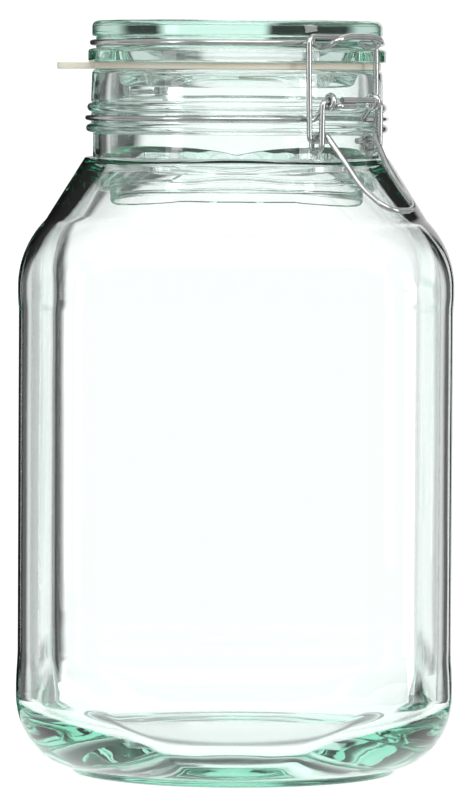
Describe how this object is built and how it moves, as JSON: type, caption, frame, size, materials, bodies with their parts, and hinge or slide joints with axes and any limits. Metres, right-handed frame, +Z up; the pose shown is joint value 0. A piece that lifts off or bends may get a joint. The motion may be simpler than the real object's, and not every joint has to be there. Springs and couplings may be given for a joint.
{
  "type": "lidded glass canister",
  "caption": "Square clear glass storage jar with a round neck, a glass lid sealed by a rubber ring and a wire lever closure; it stores dry or preserved food airtight",
  "frame": {"origin": "centre of the base on the surface the jar stands on", "axes": "+Z up along the jar, X and Y square to the body's flat sides, the closure over the corner between +X and -Y, 43.3 degrees from -Y, and the lid's hinge opposite"},
  "size_m": [0.1452, 0.1452, 0.254],
  "materials": {
    "jar_glass": "clear pressed glass with a faint green tint",
    "lid_glass": "clear pressed glass with a faint green tint",
    "seal_rubber": "natural cream rubber, satin",
    "wire": "bright zinc plated steel wire"
  },
  "bodies": {
    "jar": {"jar_body": "jar_glass", "neck_wire": "wire"},
    "cover": {"lid": "lid_glass", "lid_wire": "wire", "gasket": "seal_rubber"},
    "lever_body": {"lever": "wire"},
    "bail_body": {"bail": "wire"}
  },
  "joints": [
    {"name": "lid_hinge", "type": "hinge", "parent": "jar", "child": "cover", "pos_m": [-0.03793, 0.04025, 0.227], "axis": [-0.7278, -0.6858, 0], "range_deg": [0, 120]},
    {"name": "lever_pivot", "type": "hinge", "parent": "jar", "child": "lever_body", "pos_m": [0.03793, -0.04025, 0.227], "axis": [-0.7278, -0.6858, 0], "range_deg": [0, 120]},
    {"name": "bail_pivot", "type": "hinge", "parent": "lever_body", "child": "bail_body", "pos_m": [0.03525, -0.03741, 0.214], "axis": [-0.7278, -0.6858, 0], "range_deg": [-95, 0]}
  ],
  "couplings": [
    {"joint": "bail_pivot", "follows": "lever_pivot", "ratio": -0.78}
  ]
}
